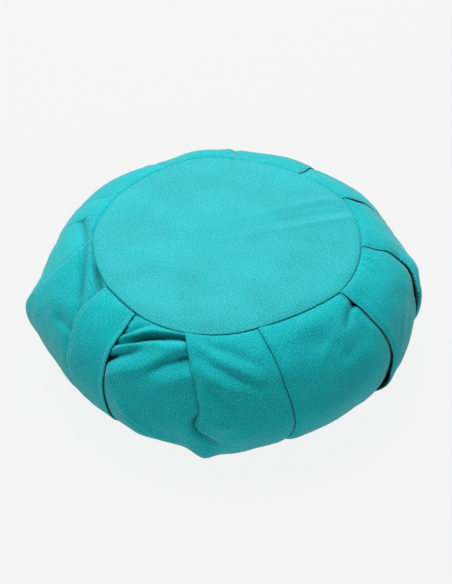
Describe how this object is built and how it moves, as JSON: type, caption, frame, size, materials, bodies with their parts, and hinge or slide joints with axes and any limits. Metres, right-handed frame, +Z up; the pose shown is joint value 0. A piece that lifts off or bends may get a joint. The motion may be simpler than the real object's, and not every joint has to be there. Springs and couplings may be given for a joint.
{
  "type": "zafu meditation cushion",
  "caption": "Round pleated floor cushion: a filled cotton band laid in lapped pleats between two round panels, with a hemmed closing flap.",
  "frame": {"origin": "on the floor under the middle of the cushion, at the middle of the bottom panel's underside", "axes": "+Z up through both panels, -Y towards the front, +X to the right of someone who looks along +Y"},
  "size_m": [0.3695, 0.3624, 0.128],
  "materials": {
    "band_cotton": "matt teal cotton twill, slightly fuzzy",
    "panel_cotton": "matt teal cotton twill, slightly fuzzy"
  },
  "bodies": {
    "root": {"side_band": "band_cotton", "closing_flap": "band_cotton", "top_panel": "panel_cotton", "bottom_panel": "panel_cotton"}
  },
  "joints": []
}
